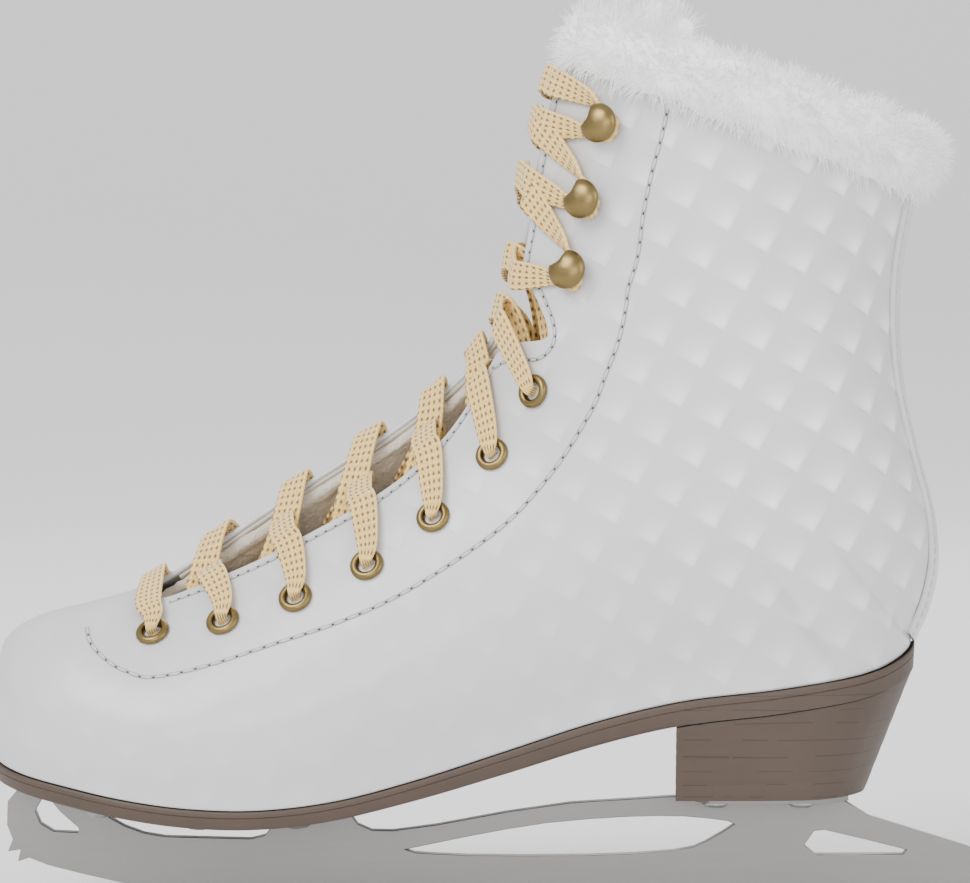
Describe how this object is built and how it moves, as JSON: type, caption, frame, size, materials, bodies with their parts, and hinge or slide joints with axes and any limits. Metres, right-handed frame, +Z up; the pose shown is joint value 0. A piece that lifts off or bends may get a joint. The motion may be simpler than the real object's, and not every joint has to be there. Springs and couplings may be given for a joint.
{
  "type": "figure skate",
  "caption": "Left figure skate: high lined boot with fur collar, laced through eyelets and hooks, on a moulded heeled sole with a steel blade that has toe picks.",
  "frame": {"origin": "the blade's flat contact point on the ice, in the middle of the blade's thickness", "axes": "+X from toe to heel along the blade, +Y to the inner (medial) side of the foot, +Z up"},
  "size_m": [0.2844, 0.0904, 0.2613],
  "materials": {
    "upper": "pearly white coated leather, embossed",
    "stiffener": "thermoplastic and fibre sheet",
    "padding": "foam",
    "fleece": "short beige fleece",
    "fur": "white artificial fur",
    "satin": "cream satin",
    "footbed": "foam covered in fleece",
    "board": "fibreboard and cork filler",
    "sole": "moulded brown sole",
    "steel": "satin",
    "old_gold": "antique matte gold",
    "lace": "flat pale yellow knitted lace"
  },
  "bodies": {
    "boot": {"ankle_pad_lateral": "padding", "ankle_pad_medial": "padding", "backstay": "upper", "blade_runner": "steel", "bottom_filler": "board", "collar_fur": "fur", "eyelet_lateral_1": "old_gold", "eyelet_lateral_2": "old_gold", "eyelet_lateral_3": "old_gold", "eyelet_lateral_4": "old_gold", "eyelet_lateral_5": "old_gold", "eyelet_lateral_6": "old_gold", "eyelet_lateral_7": "old_gold", "eyelet_medial_1": "old_gold", "eyelet_medial_2": "old_gold", "eyelet_medial_3": "old_gold", "eyelet_medial_4": "old_gold", "eyelet_medial_5": "old_gold", "eyelet_medial_6": "old_gold", "eyelet_medial_7": "old_gold", "facing_lateral": "stiffener", "facing_medial": "stiffener", "footbed": "footbed", "heel_block": "sole", "heel_counter": "stiffener", "heel_plate": "steel", "heel_screw_lateral_1": "steel", "heel_screw_lateral_2": "steel", "heel_screw_medial_1": "steel", "heel_screw_medial_2": "steel", "heel_top_piece": "sole", "hook_lateral_1": "old_gold", "hook_lateral_2": "old_gold", "hook_lateral_3": "old_gold", "hook_medial_1": "old_gold", "hook_medial_2": "old_gold", "hook_medial_3": "old_gold", "insole_board": "board", "lace": "lace", "lining": "fleece", "outsole": "sole", "shank": "steel", "sole_plate": "steel", "sole_screw_lateral_1": "steel", "sole_screw_lateral_2": "steel", "sole_screw_lateral_3": "steel", "sole_screw_medial_1": "steel", "sole_screw_medial_2": "steel", "sole_screw_medial_3": "steel", "toe_puff": "stiffener", "upper": "upper"},
    "tongue": {"tongue_cover": "satin", "tongue_lining": "fleece", "tongue_fur": "fur"}
  },
  "joints": [
    {"name": "tongue_hinge", "type": "hinge", "parent": "boot", "child": "tongue", "pos_m": [-0.101, 0, 0.078], "axis": [0, 1, 0], "range_deg": [0, 10], "stiffness_Nm_per_rad": 2}
  ]
}
